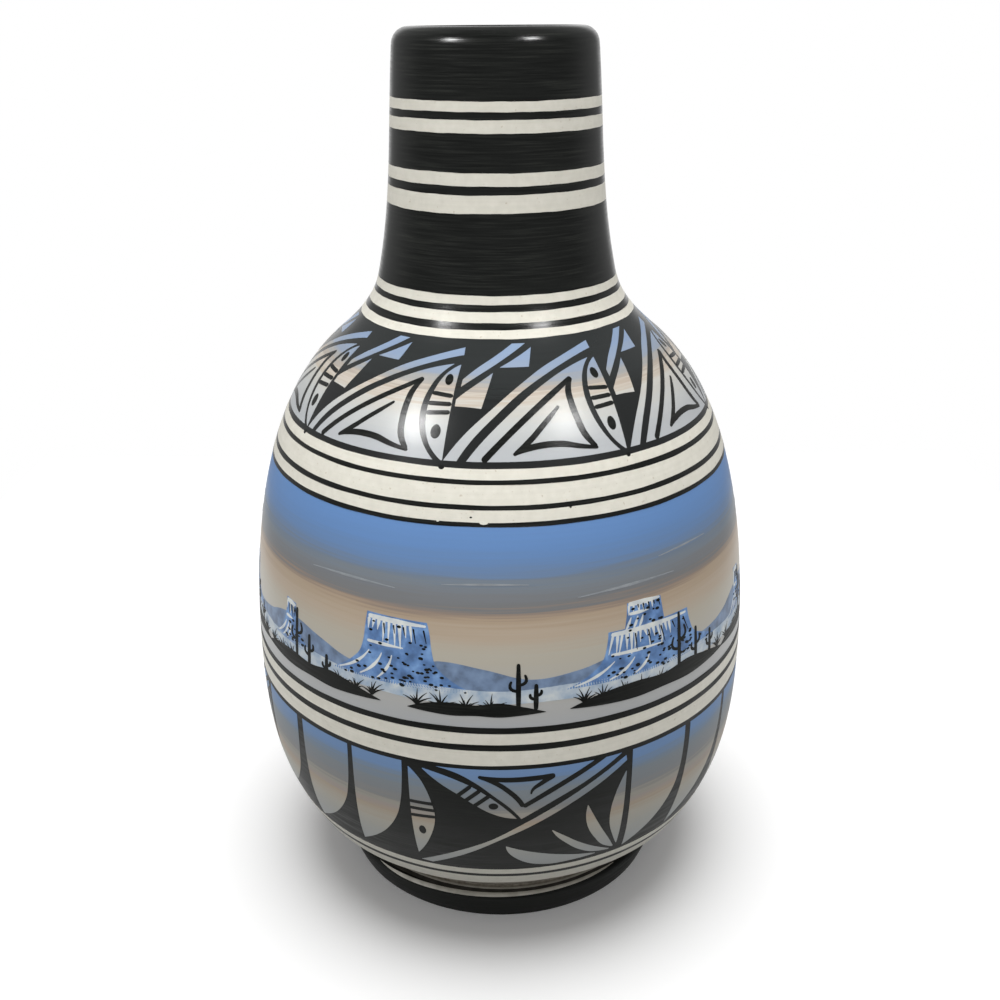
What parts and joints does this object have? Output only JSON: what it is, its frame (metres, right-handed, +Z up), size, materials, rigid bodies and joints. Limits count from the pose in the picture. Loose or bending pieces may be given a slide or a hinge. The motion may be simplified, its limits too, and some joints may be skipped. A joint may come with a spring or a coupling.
{
  "type": "vase",
  "caption": "Round-bellied clay vase with a tall upright neck, rounded lip and turned foot ring, banded in black, cream, blue and grey brushed colour.",
  "frame": {"origin": "centre of the circle on which the foot ring stands", "axes": "+Z up along the axis of the pot; -Y is the front"},
  "size_m": [0.1786, 0.1786, 0.2995],
  "materials": {
    "clay": "fired, bare",
    "liner_glaze": "glazed",
    "black_slip": "brushed, sealed satin",
    "cream_slip": "brushed, sealed satin",
    "sky_colours": "sprayed, sealed satin",
    "panel_colours": "sprayed, sealed satin"
  },
  "bodies": {
    "root": {"foot_ring": "clay", "lower_body": "clay", "upper_body": "clay", "neck": "clay", "liner_glaze": "liner_glaze", "neck_black_bands": "black_slip", "neck_cream_stripes": "cream_slip", "collar_black_lines": "black_slip", "collar_cream_stripes": "cream_slip", "shoulder_panel": "panel_colours", "crown_black_lines": "black_slip", "crown_cream_stripes": "cream_slip", "sky_band": "sky_colours", "girdle_black_lines": "black_slip", "girdle_cream_stripes": "cream_slip", "petal_panel": "panel_colours", "heel_black_line": "black_slip", "heel_cream_stripes": "cream_slip", "foot_cream_bead": "cream_slip", "foot_black_band": "black_slip"}
  },
  "joints": []
}
